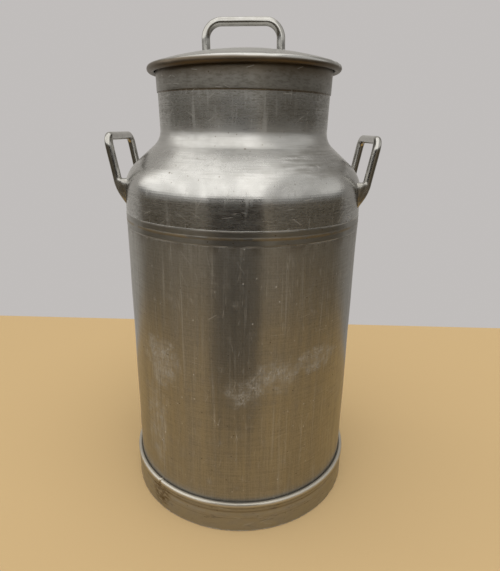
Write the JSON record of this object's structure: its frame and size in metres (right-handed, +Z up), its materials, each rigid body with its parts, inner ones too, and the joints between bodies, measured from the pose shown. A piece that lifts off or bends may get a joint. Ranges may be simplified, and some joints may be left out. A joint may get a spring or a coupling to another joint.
{
  "type": "milk can",
  "caption": "Tall round aluminium milk can with a sloping shoulder, wide neck, rod side handles, hooped foot and a domed lift-off lid.",
  "frame": {"origin": "on the can's axis at the floor, under the middle of the foot hoop", "axes": "+Z up along the can's axis; the side handles lie on +X and -X; the front is -Y"},
  "size_m": [0.3866, 0.368, 0.725],
  "materials": {
    "satin_aluminium": "worn satin, streaked up and down by handling and oxide",
    "spun_aluminium": "bright spun finish with fine rings round the axis",
    "rolled_aluminium": "rolled hoop stock, rubbed bright on its edges",
    "rod_aluminium": "smooth bar, polished by hands",
    "weld_aluminium": "dressed weld metal with a brown stain"
  },
  "bodies": {
    "can": {"body_shell": "satin_aluminium", "shoulder_shell": "spun_aluminium", "seam_weld": "weld_aluminium", "mouth_ring": "rolled_aluminium", "foot_hoop": "rolled_aluminium", "handle_left": "rod_aluminium", "handle_left_front_foot": "rod_aluminium", "handle_left_rear_foot": "rod_aluminium", "handle_right": "rod_aluminium", "handle_right_front_foot": "rod_aluminium", "handle_right_rear_foot": "rod_aluminium"},
    "lid": {"lid_cover": "spun_aluminium", "lid_skirt": "rolled_aluminium", "lid_handle": "rod_aluminium", "lid_handle_weld_left": "weld_aluminium", "lid_handle_weld_right": "weld_aluminium"}
  },
  "joints": [
    {"name": "lid_lift", "type": "slide", "parent": "can", "child": "lid", "axis": [0, 0, 1], "range_m": [0, 0.25]}
  ]
}
